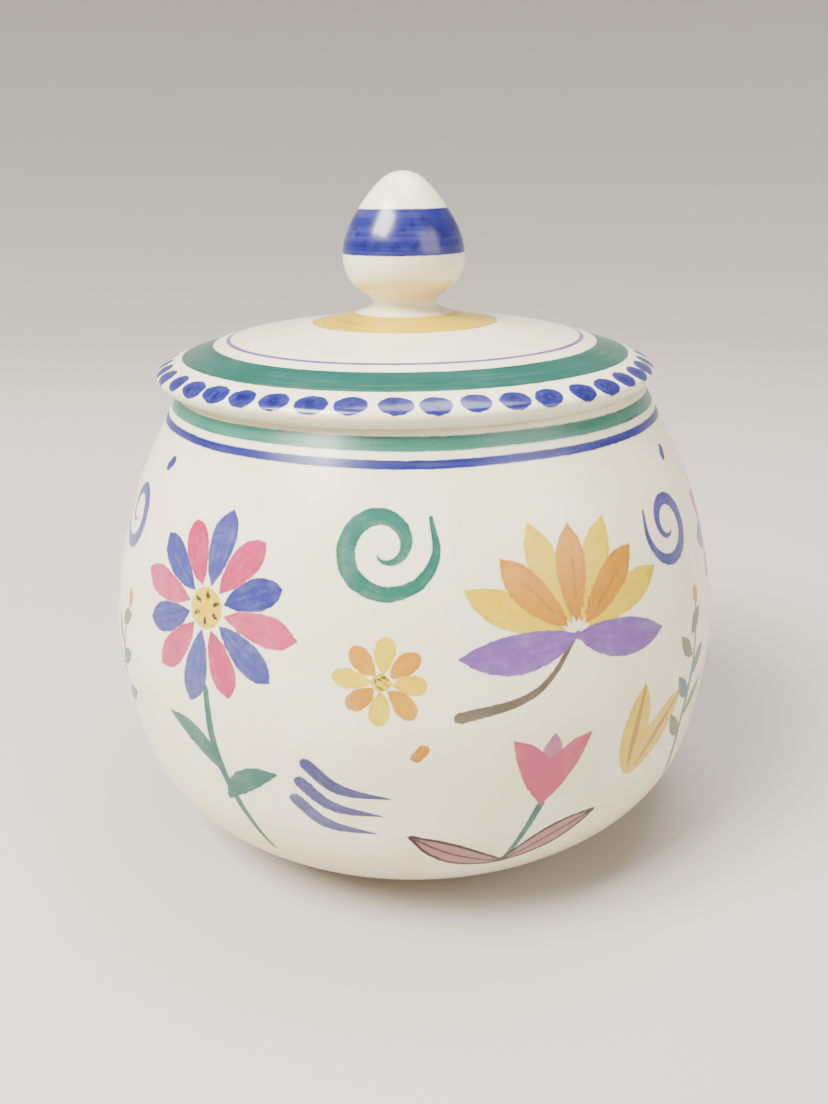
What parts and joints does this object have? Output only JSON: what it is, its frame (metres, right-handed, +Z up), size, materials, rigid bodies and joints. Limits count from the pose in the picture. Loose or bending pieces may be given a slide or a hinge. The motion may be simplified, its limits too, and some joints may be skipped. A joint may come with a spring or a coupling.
{
  "type": "lidded butter crock",
  "caption": "Round-bellied glazed crock with a domed lift-off lid that carries an acorn knob, for butter or preserves.",
  "frame": {"origin": "middle of the face that the foot ring stands on", "axes": "+Z up, along the axis of the crock; the painted front faces -Y; the lid sits 1.3 mm towards -X of the crock's axis"},
  "size_m": [0.128, 0.128, 0.1336],
  "materials": {
    "crock_glaze": "satin ivory glaze over painted flowers",
    "lid_glaze": "glossy ivory glaze over painted rings",
    "knob_glaze": "glossy ivory glaze with a blue band"
  },
  "bodies": {
    "crock": {"crock": "crock_glaze"},
    "lid": {"lid": "lid_glaze", "knob": "knob_glaze"}
  },
  "joints": [
    {"name": "lid_lift", "type": "slide", "parent": "crock", "child": "lid", "axis": [0, 0, 1], "range_m": [0, 0.08]}
  ]
}
